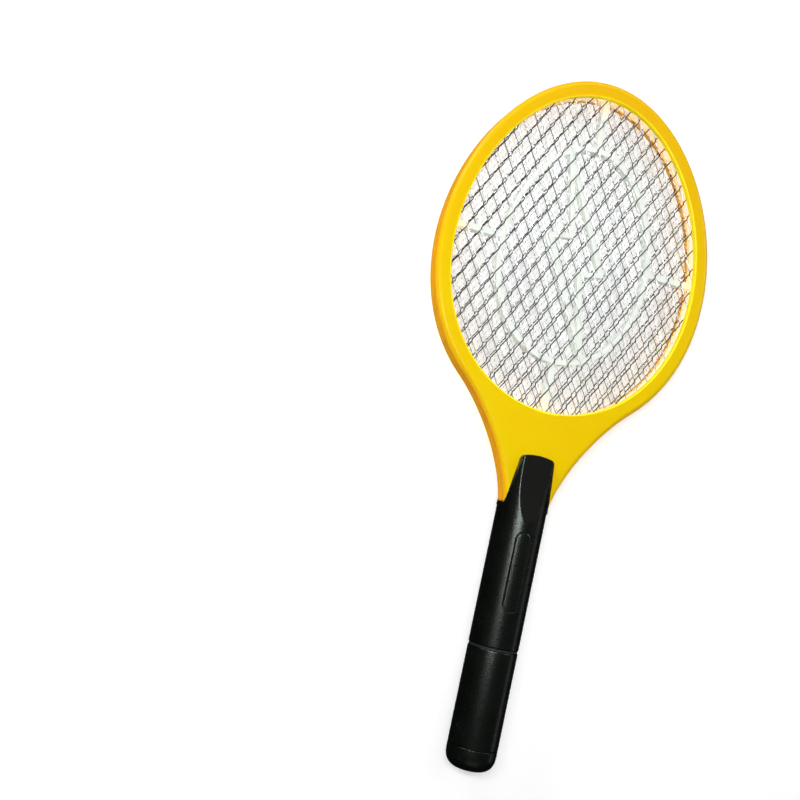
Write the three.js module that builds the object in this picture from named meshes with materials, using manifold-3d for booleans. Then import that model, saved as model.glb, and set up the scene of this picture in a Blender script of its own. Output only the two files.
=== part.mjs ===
// Electric fly swatter: an oval racket with three wire grids, a round battery handle and a
// push button.  Units are millimetres.  The racket lies on its back: +X points right as seen
// from the front, +Y runs from the handle's end to the head's tip, +Z points out of the front.
// Sub-parts are written with y = 0 at the handle's end and z = 0 on the parting plane; the
// exported group moves them so that the origin is the bottom centre of the bounding box.
import * as THREE from 'three';
import { mergeVertices } from 'three/addons/utils/BufferGeometryUtils.js';
import Module from 'manifold-3d';

const wasm = await Module();
wasm.setup();

// ---- driving dimensions -------------------------------------------------------------------
const GAP = 0.3;                  // clearance between touching pieces
const SEAM = 0.15;                // how far each half of a split piece stays off the parting plane

const HEAD_Y = 339;               // centre of the head
const OPENING_A = 84;             // half width of the head's opening
const OPENING_B = 106;            // half length of the head's opening
const EGG = 0.077;                // share by which the head's ovals narrow towards the tip
const RIM = 10;                   // width of the frame around the opening, at the sides
const RIM_TIP = 11;               // width of the frame around the opening, at the tip
const HEAD_A = OPENING_A + RIM;
const HEAD_B = OPENING_B + RIM_TIP;
const LENGTH = HEAD_Y + HEAD_B;   // whole length
const HEAD_HALF = 8.5;            // half the head's thickness
const FRAME_WALL = 2;
const FRAME_ROUND = 3.5;          // rounding of the frame's outer edge
const LIP_LOW = 4.5;              // how low the frame's lip reaches around the opening
const JOIN_DROP = 94;             // where the head's oval turns into the neck, below its centre
const OVAL_STEPS = 36;            // sides of an oval

const GRID_RIM = 3;               // how far the grids reach under the frame's lip
const GRID_HALF = 0.3;            // half the thickness of a grid
const GRID_Z = LIP_LOW - GRID_HALF - 0.25;      // middle plane of the front grid
const SPACER_RIM = 4;             // width of the spacers' outer rim
const SPACER_LOW = GRID_HALF + 0.25;
const SPACER_HIGH = GRID_Z - GRID_HALF - 0.25;
const OVAL_A = 51.5;              // spacers' inner oval, middle line
const OVAL_B = 72;
const BAR = 3.4;                  // width of the spacers' bars
const SPOKE = BAR + 1;            // width of the four spokes

const HANDLE_R = 16.3;            // radius of the round handle
const SHELL_WALL = 1.8;
const CAP_TOP = 14.8;             // end cap's upper edge
const CAP_ROUND = 9.5;            // rounding of the end cap's bottom
const SLEEVE_TOP = 77.4;          // battery sleeve's upper edge
const SHELL_LOW = 79;             // lower edge of the handle shells
const COLLAR_R = 15.8;            // collar that shows between the sleeve and the shells
const SHOULDER_Y = 171;           // where the frame's neck leaves the handle
const NECK_HALF = 15.4;           // half width of the neck at the shoulders
const TONGUE_TOP = 203;           // upper end of the handle's tongue
const TONGUE_HALF = 11;           // half width of the tongue's upper end
const FACET_LOW = 160.5;          // where the tongue's facet begins
const FACET_DROP = 3.2;           // how far the facet falls by the tongue's end

const RECESS_Y = 101.3;           // centre of the thumb recess on the right side
const BUTTON_Y = 103.6;
const LED_Y = 96.2;
const SCREW_YS = [91, 151];       // screws that hold the handle shells together
const NECK_SCREW_Y = 188;
const SCREW_BORE = 1.5;           // radius of the screws' holes
const SCREW_SINK = 2.8;           // radius of the recess around a screw's head

const CELL_R = 7.1;               // AA cell
const CELL_LENGTH = 50.5;
const CELL_X = 7.4;
const SLEEVE_BORE = 14.8;
const SPIGOT_R = 15.3;            // spigot of the end cap, inside the sleeve
const SPIGOT_TOP = 19.4;
const BOARD_TOP = -2.4;           // front face of the circuit board
const BOARD_THICK = 1.6;

// ---- materials ----------------------------------------------------------------------------
const material = (color, roughness, metalness = 0) => (
  new THREE.MeshStandardMaterial({ color, roughness, metalness }));
const FRAME_YELLOW = material(0xf9cf05, 0.35);
const SPACER_WHITE = material(0xf1f0e6, 0.45);
const GRID_DARK = material(0x5b5c5e, 0.4, 1);
const GRID_BRIGHT = material(0xc4c7c9, 0.3, 1);
const HANDLE_BLACK = material(0x141514, 0.5);
const BUTTON_RED = material(0xc81a16, 0.35);
const LENS_CLEAR = material(0xe8ecec, 0.15);
const SCREW_STEEL = material(0x8f9294, 0.35, 1);
const CONTACT_NICKEL = material(0xc9c6bb, 0.3, 1);
const CELL_JACKET = material(0x2f6f4a, 0.35);
const BOARD_TAN = material(0xb98a4a, 0.6);
const FERRITE = material(0x2b2a2c, 0.55);
const COPPER = material(0xb4602c, 0.35, 1);
const CAPACITOR_RED = material(0xa33a1c, 0.3);
const CHIP_BLACK = material(0x1b1b1d, 0.45);
const RESISTOR_TAN = material(0xc9a878, 0.5);
const LEAD_RED = material(0xb3201c, 0.45);
const LEAD_BLACK = material(0x1c1c1c, 0.45);

// ---- solids from three.js geometry --------------------------------------------------------
function solid(geometry) {
  const bare = geometry.index ? geometry.toNonIndexed() : geometry.clone();
  bare.deleteAttribute('normal');
  bare.deleteAttribute('uv');
  const merged = mergeVertices(bare, 1e-4);
  const vertProperties = new Float32Array(merged.attributes.position.array);
  const triVerts = new Uint32Array(merged.index.array);
  const body = new wasm.Manifold(new wasm.Mesh({ numProp: 3, vertProperties, triVerts }));
  if (body.volume() > 0) return body;
  for (let i = 0; i < triVerts.length; i += 3) {
    [triVerts[i], triVerts[i + 1]] = [triVerts[i + 1], triVerts[i]];
  }
  return new wasm.Manifold(new wasm.Mesh({ numProp: 3, vertProperties, triVerts }));
}

function geometryOf(body) {
  const { vertProperties, triVerts } = body.getMesh();
  const geometry = new THREE.BufferGeometry();
  geometry.setAttribute('position', new THREE.BufferAttribute(vertProperties, 3));
  geometry.setIndex(new THREE.BufferAttribute(triVerts, 1));
  geometry.computeVertexNormals();
  return geometry;
}

const union = (...bodies) => bodies.reduce((sum, body) => sum.add(body));
const cut = (body, ...tools) => tools.reduce((rest, tool) => rest.subtract(tool), body);

function block([x0, x1], [y0, y1], [z0, z1]) {
  const geometry = new THREE.BoxGeometry(x1 - x0, y1 - y0, z1 - z0);
  geometry.translate((x0 + x1) / 2, (y0 + y1) / 2, (z0 + z1) / 2);
  return solid(geometry);
}

// A plan shape raised between two heights; round > 0 rounds its upper and lower edges.
function prism(shape, [z0, z1], { round = 0, curveSegments = 18 } = {}) {
  const geometry = new THREE.ExtrudeGeometry(shape, {
    depth: z1 - z0 - 2 * round,
    curveSegments,
    bevelEnabled: round > 0,
    bevelThickness: round,
    bevelSize: round,
    bevelOffset: -round,
    bevelSegments: 2,
  });
  geometry.translate(0, 0, z0 + round);
  return solid(geometry);
}

// A profile of [radius, height] points turned about the Y axis.
function turned(profile, segments = 24) {
  const points = profile.map(([radius, height]) => new THREE.Vector2(radius, height));
  return solid(new THREE.LatheGeometry(points, segments));
}

// A turned piece laid along X or Z instead of Y, and moved to its place.
function turnedAlong(axis, profile, [x, y, z], segments = 20) {
  const points = profile.map(([radius, height]) => new THREE.Vector2(radius, height));
  const geometry = new THREE.LatheGeometry(points, segments);
  if (axis === 'x') geometry.rotateZ(-Math.PI / 2);
  if (axis === 'z') geometry.rotateX(Math.PI / 2);
  geometry.translate(x, y, z);
  return solid(geometry);
}

const rod = (axis, radius, [low, high], place, segments = 20) => (
  turnedAlong(axis, [[0, low], [radius, low], [radius, high], [0, high]], place, segments));

// A round wire along a smooth curve through the given points.
function wire(points, radius, { sides = 6, steps = 20 } = {}) {
  const section = new THREE.Shape();
  for (let i = 0; i < sides; i += 1) {
    const turn = (2 * Math.PI * i) / sides;
    const corner = [radius * Math.cos(turn), radius * Math.sin(turn)];
    if (i === 0) section.moveTo(...corner);
    else section.lineTo(...corner);
  }
  const path = new THREE.CatmullRomCurve3(points.map((point) => new THREE.Vector3(...point)));
  return solid(new THREE.ExtrudeGeometry(section, { steps, extrudePath: path }));
}

// Half the width of one of the head's ovals, as a share, at a turn around it.
const eggWidth = (turn) => Math.cos(turn) * (1 - EGG * Math.sin(turn));

// Points of an oval around the head's centre, between two turns; it narrows towards the tip.
function ovalPoints(halfX, halfY, start = 0, end = 2 * Math.PI, steps = OVAL_STEPS) {
  const points = [];
  for (let step = 0; step <= steps; step += 1) {
    const turn = start + ((end - start) * step) / steps;
    points.push(new THREE.Vector2(halfX * eggWidth(turn), HEAD_Y + halfY * Math.sin(turn)));
  }
  return points;
}

const oval = (halfX, halfY) => new THREE.Shape(ovalPoints(halfX, halfY).slice(1));

function band(halfX, halfY, width) {
  const shape = oval(halfX + width / 2, halfY + width / 2);
  shape.holes.push(oval(halfX - width / 2, halfY - width / 2));
  return shape;
}

function roundedBox([x0, x1], [y0, y1], [z0, z1], radius) {
  const shape = new THREE.Shape();
  shape.moveTo(x0 + radius, y0);
  shape.lineTo(x1 - radius, y0);
  shape.absarc(x1 - radius, y0 + radius, radius, -Math.PI / 2, 0);
  shape.lineTo(x1, y1 - radius);
  shape.absarc(x1 - radius, y1 - radius, radius, 0, Math.PI / 2);
  shape.lineTo(x0 + radius, y1);
  shape.absarc(x0 + radius, y1 - radius, radius, Math.PI / 2, Math.PI);
  shape.lineTo(x0, y0 + radius);
  shape.absarc(x0 + radius, y0 + radius, radius, Math.PI, 1.5 * Math.PI);
  return prism(shape, [z0, z1], { curveSegments: 3 });
}

// ---- the assembly -------------------------------------------------------------------------
const racket = new THREE.Group();
racket.position.set(0, -LENGTH / 2, HANDLE_R);

function place(name, body, look) {
  const mesh = new THREE.Mesh(geometryOf(body), look);
  mesh.name = name;
  racket.add(mesh);
}

// The back of a piece that is the same on both sides, made by turning it over in Z.
const turnedOver = (body) => body.mirror([0, 0, 1]);

// ---- head frame ---------------------------------------------------------------------------
// The frame's outline: the oval head, flowing into the neck on each side.
function headOutline(grow) {
  const halfX = HEAD_A + grow;
  const halfY = HEAD_B + grow;
  const neckX = NECK_HALF + grow;
  const joinTurn = -Math.asin((JOIN_DROP + grow) / halfY);
  const head = ovalPoints(halfX, halfY, joinTurn, Math.PI - joinTurn);
  const join = head[0];
  const slope = (-halfX * (Math.sin(joinTurn) + EGG * Math.cos(2 * joinTurn)))
    / (halfY * Math.cos(joinTurn));
  const reach = 21;
  const flare = [join.x - reach * slope, join.y - reach];
  const rise = [neckX + 2.4, SHOULDER_Y + 19];
  const shape = new THREE.Shape();
  shape.moveTo(-neckX, SHOULDER_Y - 8);
  shape.lineTo(neckX, SHOULDER_Y - 8);
  shape.lineTo(neckX, SHOULDER_Y);
  shape.bezierCurveTo(...rise, ...flare, join.x, join.y);
  head.slice(1).forEach((point) => shape.lineTo(point.x, point.y));
  shape.bezierCurveTo(-flare[0], flare[1], -rise[0], rise[1], -neckX, SHOULDER_Y);
  return shape;
}

// The opening, with its front edge eased.
function openingTool() {
  const ease = 0.8;
  const through = prism(oval(OPENING_A, OPENING_B), [-1, HEAD_HALF + 1]);
  const eased = prism(oval(OPENING_A + ease, OPENING_B + ease), [HEAD_HALF - ease, HEAD_HALF + 1]);
  return union(through, eased);
}

const FAR = 600;                  // further than anything reaches
const STUB_HALF = 11;             // tongue of the frame that the handle shells clamp
const STUB_LOW = 158;
const STUB_HIGH = 8;

function neckBoss() {
  const radius = 3.4;
  return rod('z', radius, [GAP + SEAM, HEAD_HALF - 1], [0, NECK_SCREW_Y, 0]);
}

// The lip that hangs from the frame's face around the opening and holds the grid down.
function lip() {
  const width = FRAME_WALL;
  return prism(band(OPENING_A + width / 2, OPENING_B + width / 2, width), [LIP_LOW, HEAD_HALF - 1]);
}

function frameHalf(screwHole) {
  const ceiling = HEAD_HALF - FRAME_WALL;
  const beyondHandle = block([-FAR, FAR], [SHOULDER_Y, FAR], [-1, 20]);
  const skin = prism(headOutline(0), [-HEAD_HALF, HEAD_HALF], { round: FRAME_ROUND });
  const inside = prism(headOutline(-FRAME_WALL), [-ceiling, ceiling], { round: 1.8 });
  const stub = block([-STUB_HALF, STUB_HALF], [STUB_LOW, SHOULDER_Y + 4], [-1, STUB_HIGH]);
  const stubInner = STUB_HALF - SHELL_WALL;
  const stubHollow = block([-stubInner, stubInner], [STUB_LOW - 8, SHOULDER_Y + 6],
    [-1, STUB_HIGH - SHELL_WALL]);
  const frontHalf = block([-FAR, FAR], [0, FAR], [SEAM, 20]);
  const shell = cut(skin.intersect(beyondHandle), inside).add(stub.subtract(stubHollow));
  const whole = union(shell, lip(), neckBoss());
  return cut(whole, openingTool(), screwHole).intersect(frontHalf);
}

function addFrames() {
  const blindHole = rod('z', SCREW_BORE, [-1, 5.2], [0, NECK_SCREW_Y, 0], 12);
  const throughHole = rod('z', SCREW_BORE, [-1, 20], [0, NECK_SCREW_Y, 0], 12);
  place('front_frame', frameHalf(blindHole), FRAME_YELLOW);
  place('back_frame', turnedOver(frameHalf(throughHole)), FRAME_YELLOW);
}

// ---- spacers ------------------------------------------------------------------------------
// A straight bar between two points of the plan.
function bar([x0, y0], [x1, y1], width, [z0, z1]) {
  const length = Math.hypot(x1 - x0, y1 - y0);
  const geometry = new THREE.BoxGeometry(length, width, z1 - z0);
  geometry.rotateZ(Math.atan2(y1 - y0, x1 - x0));
  geometry.translate((x0 + x1) / 2, HEAD_Y + (y0 + y1) / 2, (z0 + z1) / 2);
  return solid(geometry);
}

// The zig-zag brace across the inner oval: half of it, and the same half turned by 180 degrees.
const BRACE_HALF = [[-17, 66], [20, -9], [5, -12]];
const BRACE_FOOT = [-19.5, 70];   // where the brace's end meets the inner oval
const opposite = ([x, y]) => [-x, -y];
const BRACE = [...BRACE_HALF, ...BRACE_HALF.map(opposite)];

function spacer() {
  const heights = [SPACER_LOW, SPACER_HIGH];
  const pieces = [
    prism(band(OPENING_A + SPACER_RIM / 2, OPENING_B + SPACER_RIM / 2, SPACER_RIM), heights),
    prism(band(OVAL_A, OVAL_B, BAR), heights),
  ];
  [[OVAL_A, OPENING_A + 2, 0, 0], [0, 0, OVAL_B, OPENING_B + 2]].forEach(([x0, x1, y0, y1]) => {
    pieces.push(bar([x0, y0], [x1, y1], SPOKE, heights));
    pieces.push(bar([-x0, -y0], [-x1, -y1], SPOKE, heights));
  });
  BRACE.forEach((corner, index) => {
    const next = BRACE[(index + 1) % BRACE.length];
    pieces.push(bar(corner, next, BAR, heights));
    pieces.push(rod('z', BAR / 2, heights, [corner[0], HEAD_Y + corner[1], 0], 8));
  });
  pieces.push(bar(BRACE_HALF[0], BRACE_FOOT, BAR, heights));
  pieces.push(bar(opposite(BRACE_HALF[0]), opposite(BRACE_FOOT), BAR, heights));
  return union(...pieces);
}

function addSpacers() {
  place('front_spacer', spacer(), SPACER_WHITE);
  place('back_spacer', turnedOver(spacer()), SPACER_WHITE);
}

// ---- grids --------------------------------------------------------------------------------
const inOpening = (x, y) => (
  Math.hypot(x / (OPENING_A * (1 - (EGG * y) / OPENING_B)), y / OPENING_B) < 1);

// An oval plate with a diamond lattice of holes that stay inside the opening.
function grid(middleZ, pitchX, pitchY, strand) {
  const shape = oval(OPENING_A + GRID_RIM, OPENING_B + GRID_RIM);
  const halfX = pitchX / 2 - strand;
  const halfY = (halfX * pitchY) / pitchX;
  const margin = 0.7;
  const rows = Math.ceil(OPENING_B / (pitchY / 2));
  for (let row = -rows; row <= rows; row += 1) {
    const shift = row % 2 === 0 ? 0 : pitchX / 2;
    for (let column = -4; column <= 4; column += 1) {
      const x = column * pitchX + shift;
      const y = (row * pitchY) / 2;
      const outerX = x + Math.sign(x) * halfX * margin;
      const outerY = y + Math.sign(y) * halfY * margin;
      if (inOpening(outerX, outerY)) {
        const hole = new THREE.Path();
        hole.moveTo(x - halfX, HEAD_Y + y);
        hole.lineTo(x, HEAD_Y + y - halfY);
        hole.lineTo(x + halfX, HEAD_Y + y);
        hole.lineTo(x, HEAD_Y + y + halfY);
        shape.holes.push(hole);
      }
    }
  }
  return prism(shape, [middleZ - GRID_HALF, middleZ + GRID_HALF]);
}

function addGrids() {
  place('front_grid', grid(GRID_Z, 28, 37, 1.3), GRID_DARK);
  place('centre_grid', grid(0, 32, 32, 1.1), GRID_BRIGHT);
  place('back_grid', grid(-GRID_Z, 28, 37, 1.3), GRID_DARK);
}

// ---- handle shells ------------------------------------------------------------------------
// The handle's plan: straight sides, then the tongue that narrows over the frame's neck.
function handlePlan() {
  const corner = 2.4;
  const beside = HANDLE_R + 4;
  const shape = new THREE.Shape();
  shape.moveTo(-beside, SHELL_LOW - 1);
  shape.lineTo(beside, SHELL_LOW - 1);
  shape.lineTo(beside, SHOULDER_Y - GAP);
  shape.lineTo(NECK_HALF, SHOULDER_Y - GAP);
  shape.lineTo(TONGUE_HALF + 0.3, TONGUE_TOP - corner);
  shape.quadraticCurveTo(TONGUE_HALF, TONGUE_TOP - 0.4, TONGUE_HALF - corner, TONGUE_TOP - 0.2);
  shape.quadraticCurveTo(0, TONGUE_TOP + 0.8, -TONGUE_HALF + corner, TONGUE_TOP - 0.2);
  shape.quadraticCurveTo(-TONGUE_HALF, TONGUE_TOP - 0.4, -TONGUE_HALF - 0.3, TONGUE_TOP - corner);
  shape.lineTo(-NECK_HALF, SHOULDER_Y - GAP);
  shape.lineTo(-beside, SHOULDER_Y - GAP);
  return prism(shape, [SEAM, 30], { curveSegments: 4 });
}

// What leaves the facet on the tongue: a shallow scoop, steepest at its lower end.
function facetTool() {
  const steps = 8;
  const above = HANDLE_R + 10;
  const depth = 60;
  const side = new THREE.Shape();
  side.moveTo(FACET_LOW, above);
  for (let step = 0; step <= steps; step += 1) {
    const share = step / steps;
    const drop = FACET_DROP * (1 - (1 - share) ** 2.5);
    side.lineTo(FACET_LOW + share * (TONGUE_TOP - FACET_LOW), HANDLE_R - drop);
  }
  side.lineTo(TONGUE_TOP + 10, HANDLE_R - FACET_DROP);
  side.lineTo(TONGUE_TOP + 10, above);
  const geometry = new THREE.ExtrudeGeometry(side, { depth, bevelEnabled: false });
  geometry.rotateX(Math.PI / 2);
  geometry.rotateZ(Math.PI / 2);
  geometry.translate(-depth / 2, 0, 0);
  return solid(geometry);
}

// The thumb recess on the right side, a shallow oval dish.
function recessTool() {
  const geometry = new THREE.SphereGeometry(1, 28, 16);
  geometry.scale(3.7, 8.6, 7.4);
  geometry.translate(17.3, RECESS_Y, 0);
  return solid(geometry);
}

// What the shells are hollowed by: a bore, less a pad behind the thumb recess.
function handleBore() {
  const radius = HANDLE_R - SHELL_WALL;
  const low = SHELL_LOW - 2;
  const high = STUB_LOW - 1;
  const bore = turned([[0, low], [radius, low], [radius, high], [0, high]], 48);
  return bore.subtract(block([11.7, 16], [90, 112.5], [-10, 10]));
}

// Room for the frame's neck and for its stub, which goes into the handle.
function neckClearance() {
  const high = HEAD_HALF + GAP;
  const neck = prism(headOutline(GAP), [-high, high], { round: FRAME_ROUND });
  const aboveShoulder = neck.intersect(block([-60, 60], [SHOULDER_Y - GAP, 300], [-20, 20]));
  const stubX = STUB_HALF + GAP;
  const stubZ = STUB_HIGH + GAP;
  return aboveShoulder.add(block([-stubX, stubX], [STUB_LOW - 8, SHOULDER_Y + 2], [-stubZ, stubZ]));
}

function buttonHole() {
  const halfY = 3.9;
  const across = block([10, 20], [BUTTON_Y - halfY, BUTTON_Y + halfY], [-3.1, 3.1]);
  return across.add(rod('x', 1.8, [10, 20], [0, LED_Y, 0], 16));
}

function handleHalf() {
  const outside = turned([
    [0, SHELL_LOW], [HANDLE_R - 0.7, SHELL_LOW], [HANDLE_R, SHELL_LOW + 0.7],
    [HANDLE_R, TONGUE_TOP + 4], [0, TONGUE_TOP + 4],
  ], 48);
  const shape = outside.intersect(handlePlan());
  return cut(shape, facetTool(), neckClearance(), handleBore(), recessTool(), buttonHole());
}

// Posts inside the shells, joined to the wall they stand on.
function posts(radius, [z0, z1]) {
  const all = SCREW_YS.map((y) => rod('z', radius, [z0, z1], [0, y, 0]));
  return union(...all);
}

function addHandleShells() {
  const wallTop = HANDLE_R - 0.9;
  const frontPosts = posts(3.2, [SEAM, wallTop]);
  const frontHoles = posts(SCREW_BORE, [-1, 9]);
  place('front_handle_shell', cut(handleHalf().add(frontPosts), frontHoles), HANDLE_BLACK);

  const backPosts = turnedOver(posts(4, [GAP, wallTop]));
  const ribs = [113, 139].map((y) => block([-14.6, 14.6], [y - 0.8, y + 0.8], [-14.6, -4.3]));
  const roundRibs = union(...ribs).intersect(
    turned([[0, 90], [HANDLE_R - 1, 90], [HANDLE_R - 1, 150], [0, 150]], 48));
  const clearHoles = turnedOver(posts(SCREW_BORE, [-1, 20]));
  const headSinks = turnedOver(posts(SCREW_SINK, [11, 20]));
  const neckHole = turnedOver(rod('z', SCREW_BORE, [5, 20], [0, NECK_SCREW_Y, 0], 12));
  const neckSink = turnedOver(rod('z', SCREW_SINK, [10.2, 20], [0, NECK_SCREW_Y, 0]));
  const back = turnedOver(handleHalf()).add(backPosts).add(roundRibs);
  place('back_handle_shell', cut(back, clearHoles, headSinks, neckHole, neckSink), HANDLE_BLACK);
}

// ---- screws -------------------------------------------------------------------------------
function screw(headZ, tipZ, y) {
  const profile = [
    [0, headZ], [2.1, headZ], [2.4, headZ + 0.4], [2.4, headZ + 1.6], [1.2, headZ + 1.6],
    [1.2, tipZ - 1], [0, tipZ],
  ];
  const slotA = block([-1.5, 1.5], [y - 0.3, y + 0.3], [headZ - 1, headZ + 0.8]);
  const slotB = block([-0.3, 0.3], [y - 1.5, y + 1.5], [headZ - 1, headZ + 0.8]);
  return cut(turnedAlong('z', profile, [0, y, 0], 16), slotA, slotB);
}

function addScrews() {
  place('handle_screw_lower', screw(-12.9, 7, SCREW_YS[0]), SCREW_STEEL);
  place('handle_screw_upper', screw(-12.9, 7, SCREW_YS[1]), SCREW_STEEL);
  place('neck_screw', screw(-12.1, 4.5, NECK_SCREW_Y), SCREW_STEEL);
}

// ---- battery sleeve and end cap -----------------------------------------------------------
function addSleeve() {
  const socketR = SPIGOT_R + GAP;
  const socketTop = SPIGOT_TOP + GAP;
  const sleeveLow = CAP_TOP + GAP;
  place('battery_sleeve', turned([
    [socketR, sleeveLow], [HANDLE_R - 0.5, sleeveLow], [HANDLE_R, sleeveLow + 0.5],
    [HANDLE_R, SLEEVE_TOP - 0.7], [HANDLE_R - 0.7, SLEEVE_TOP], [SLEEVE_BORE, SLEEVE_TOP],
    [SLEEVE_BORE, socketTop], [socketR, socketTop], [socketR, sleeveLow],
  ], 40), HANDLE_BLACK);

  const steps = 6;
  const floorTop = 3;
  const profile = [[0, 0]];
  for (let step = 0; step <= steps; step += 1) {
    const turn = (Math.PI / 2) * (step / steps);
    const radius = HANDLE_R - CAP_ROUND + CAP_ROUND * Math.sin(turn);
    profile.push([radius, CAP_ROUND - CAP_ROUND * Math.cos(turn)]);
  }
  profile.push([HANDLE_R, CAP_TOP - 0.5], [HANDLE_R - 0.5, CAP_TOP], [SPIGOT_R, CAP_TOP]);
  profile.push([SPIGOT_R, SPIGOT_TOP], [SLEEVE_BORE, SPIGOT_TOP], [SLEEVE_BORE, 7.6]);
  profile.push([10.5, floorTop], [0, floorTop]);
  place('end_cap', turned(profile, 40), HANDLE_BLACK);
}

// ---- battery carrier, cells and contacts --------------------------------------------------
const CELL_LOW = { left: 14, right: 10.6 };   // each cell's lower end; the right one is nose down
const TAB_X = 6;                              // where the upper contacts' tabs pass the wall

function addCarrier() {
  const disc = (radius, [low, high]) => rod('y', radius, [low, high], [0, 0, 0], 32);
  const hollow = disc(12.8, [67.1, 90]);
  const solidPart = union(
    disc(14.3, [8, 9.6]),
    block([-7, 7], [9, 66], [-12.3, -1.5]),
    disc(14.3, [65.5, 77.8]),
    disc(COLLAR_R, [SLEEVE_TOP + GAP, SHELL_LOW - GAP]),
    disc(14.2, [78, 86]),
  );
  const cells = [-CELL_X, CELL_X].map((x) => rod('y', CELL_R + GAP, [9.6, 65.5], [x, 0, 0], 24));
  const tabSlots = [-TAB_X, TAB_X].map((x) => block([x - 1.4, x + 1.4], [65, 68], [3.4, 4.6]));
  const bridgeSlot = block([-9, 9], [9.6, 10.6], [-4.9, 0]);
  const carrier = cut(solidPart, hollow, bridgeSlot, ...cells, ...tabSlots);
  place('battery_carrier', carrier, HANDLE_BLACK);
}

function cell(x, noseUp) {
  const low = noseUp ? CELL_LOW.left : CELL_LOW.right;
  const along = (height) => low + (noseUp ? height : CELL_LENGTH - height);
  const outline = [
    [0, 0], [5.4, 0], [5.6, 0.3], [6.9, 0.3], [CELL_R, 0.7], [CELL_R, 48.7], [6.9, 49.1],
    [2.75, 49.1], [2.6, CELL_LENGTH], [0, CELL_LENGTH],
  ];
  const profile = outline.map(([radius, height]) => [radius, along(height)]);
  return turnedAlong('y', profile, [x, 0, 0], 28);
}

// A short coil spring between two heights, flat turns first and last.
function contactSpring(x, low, high) {
  const turns = 3;
  const steps = 36;
  const points = [];
  for (let step = 0; step <= steps; step += 1) {
    const turn = (2 * Math.PI * turns * step) / steps;
    const height = low + 0.35 + ((high - low - 0.7) * step) / steps;
    points.push([x + 3.4 * Math.cos(turn), height, 3.4 * Math.sin(turn)]);
  }
  return wire(points, 0.35, { sides: 5, steps: 42 });
}

function addPower() {
  place('aa_cell_left', cell(-CELL_X, true), CELL_JACKET);
  place('aa_cell_right', cell(CELL_X, false), CELL_JACKET);
  place('contact_bridge', block([-12, 12], [9.9, 10.3], [-4.5, 4.5]), CONTACT_NICKEL);
  place('contact_spring_left', contactSpring(-CELL_X, 10.6, 13.7), CONTACT_NICKEL);
  place('contact_spring_right', contactSpring(CELL_X, 61.4, 64.5), CONTACT_NICKEL);
  const names = { positive_contact: -1, negative_contact: 1 };
  Object.entries(names).forEach(([name, side]) => {
    const middle = side * CELL_X;
    const plate = block([middle - 5, middle + 5], [64.8, 65.2], [-4.6, 4.6]);
    const tab = block([side * TAB_X - 1, side * TAB_X + 1], [65, 69], [3.8, 4.2]);
    place(name, plate.add(tab), CONTACT_NICKEL);
  });
}

// ---- push button, switch and indicator ----------------------------------------------------
function addButton() {
  const stem = roundedBox([-2.8, 2.8], [-3.6, 3.6], [11, 16.2], 2);
  const crown = new THREE.SphereGeometry(1, 24, 16);
  crown.scale(4.2, 5.4, 5.4);
  crown.translate(0, 0, 10.8);
  const top = union(solid(crown), block([-9, 9], [-9, 9], [9, 13.5]));
  const flange = block([-4, 4], [-4.6, 4.6], [10.2, 11.4]);
  const button = stem.intersect(top).add(flange);
  place('push_button', button.rotate([0, 90, 0]).translate([0, BUTTON_Y, 0]), BUTTON_RED);

  place('switch_plunger', rod('x', 1.6, [6, 9.9], [0, BUTTON_Y, 0], 16), CHIP_BLACK);
  const body = block([3, 8], [BUTTON_Y - 3, BUTTON_Y + 3], [BOARD_TOP + GAP, 2.1]);
  const socket = rod('x', 1.9, [4.7, 9], [0, BUTTON_Y, 0], 16);
  place('tact_switch', cut(body, socket), CHIP_BLACK);

  const lens = [
    [0, 9.2], [1.5, 9.2], [1.5, 10.4], [1.9, 10.4], [1.9, 11.4], [1.5, 11.4], [1.5, 13.6],
    [1.1, 14.5], [0.55, 14.9], [0, 15],
  ];
  place('led_lens', turnedAlong('x', lens, [0, LED_Y, 0], 16), LENS_CLEAR);
}

// ---- circuit board ------------------------------------------------------------------------
function addBoard() {
  const boardLow = BOARD_TOP - BOARD_THICK;
  place('circuit_board', block([-12, 8.6], [95.6, 145.6], [boardLow, BOARD_TOP]), BOARD_TAN);
  const seat = BOARD_TOP + GAP;

  const coreX = -2;
  const coreY = 134;
  const windowAt = (x) => block([x - 1.3, x + 1.3], [coreY - 3.7, coreY + 3.7], [-1, 8]);
  const core = block([coreX - 7, coreX + 7], [coreY - 6, coreY + 6], [0.2, 5.2]);
  place('transformer_core', cut(core, windowAt(coreX - 2.8), windowAt(coreX + 2.8)), FERRITE);
  const coil = block([coreX - 3.8, coreX + 3.8], [coreY - 3.4, coreY + 3.4], [seat, 7.5]);
  const centreLeg = block([coreX - 1.8, coreX + 1.8], [coreY - 9, coreY + 9], [-0.1, 5.5]);
  place('transformer_winding', coil.subtract(centreLeg), COPPER);

  place('film_capacitor_large', roundedBox([-8.8, -3.2], [108, 121], [seat, 8], 1.2), CAPACITOR_RED);
  place('film_capacitor_small', roundedBox([-1.2, 3.6], [110, 121], [seat, 7], 1.2), CAPACITOR_RED);

  const transistor = rod('z', 2.4, [seat, 3], [-4, 102, 0], 20);
  const flat = block([-9, 9], [103.2, 110], [-5, 9]);
  place('transistor', transistor.subtract(flat), CHIP_BLACK);

  const axial = (radius, length) => {
    const half = length / 2;
    return [
      [0, -half - 2], [0.35, -half - 2], [0.35, -half], [radius, -half], [radius, half],
      [0.35, half], [0.35, half + 2], [0, half + 2],
    ];
  };
  [113, 123, 133].forEach((y, index) => {
    const diode = turnedAlong('y', axial(1.2, 4.4), [6.7, y, seat + 1.2], 12);
    place(`diode_${index + 1}`, diode, CHIP_BLACK);
  });
  [107, 126].forEach((y, index) => {
    const resistor = turnedAlong('y', axial(1, 5), [-10.6, y, seat + 1], 12);
    place(`resistor_${index + 1}`, resistor, RESISTOR_TAN);
  });
}

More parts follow.
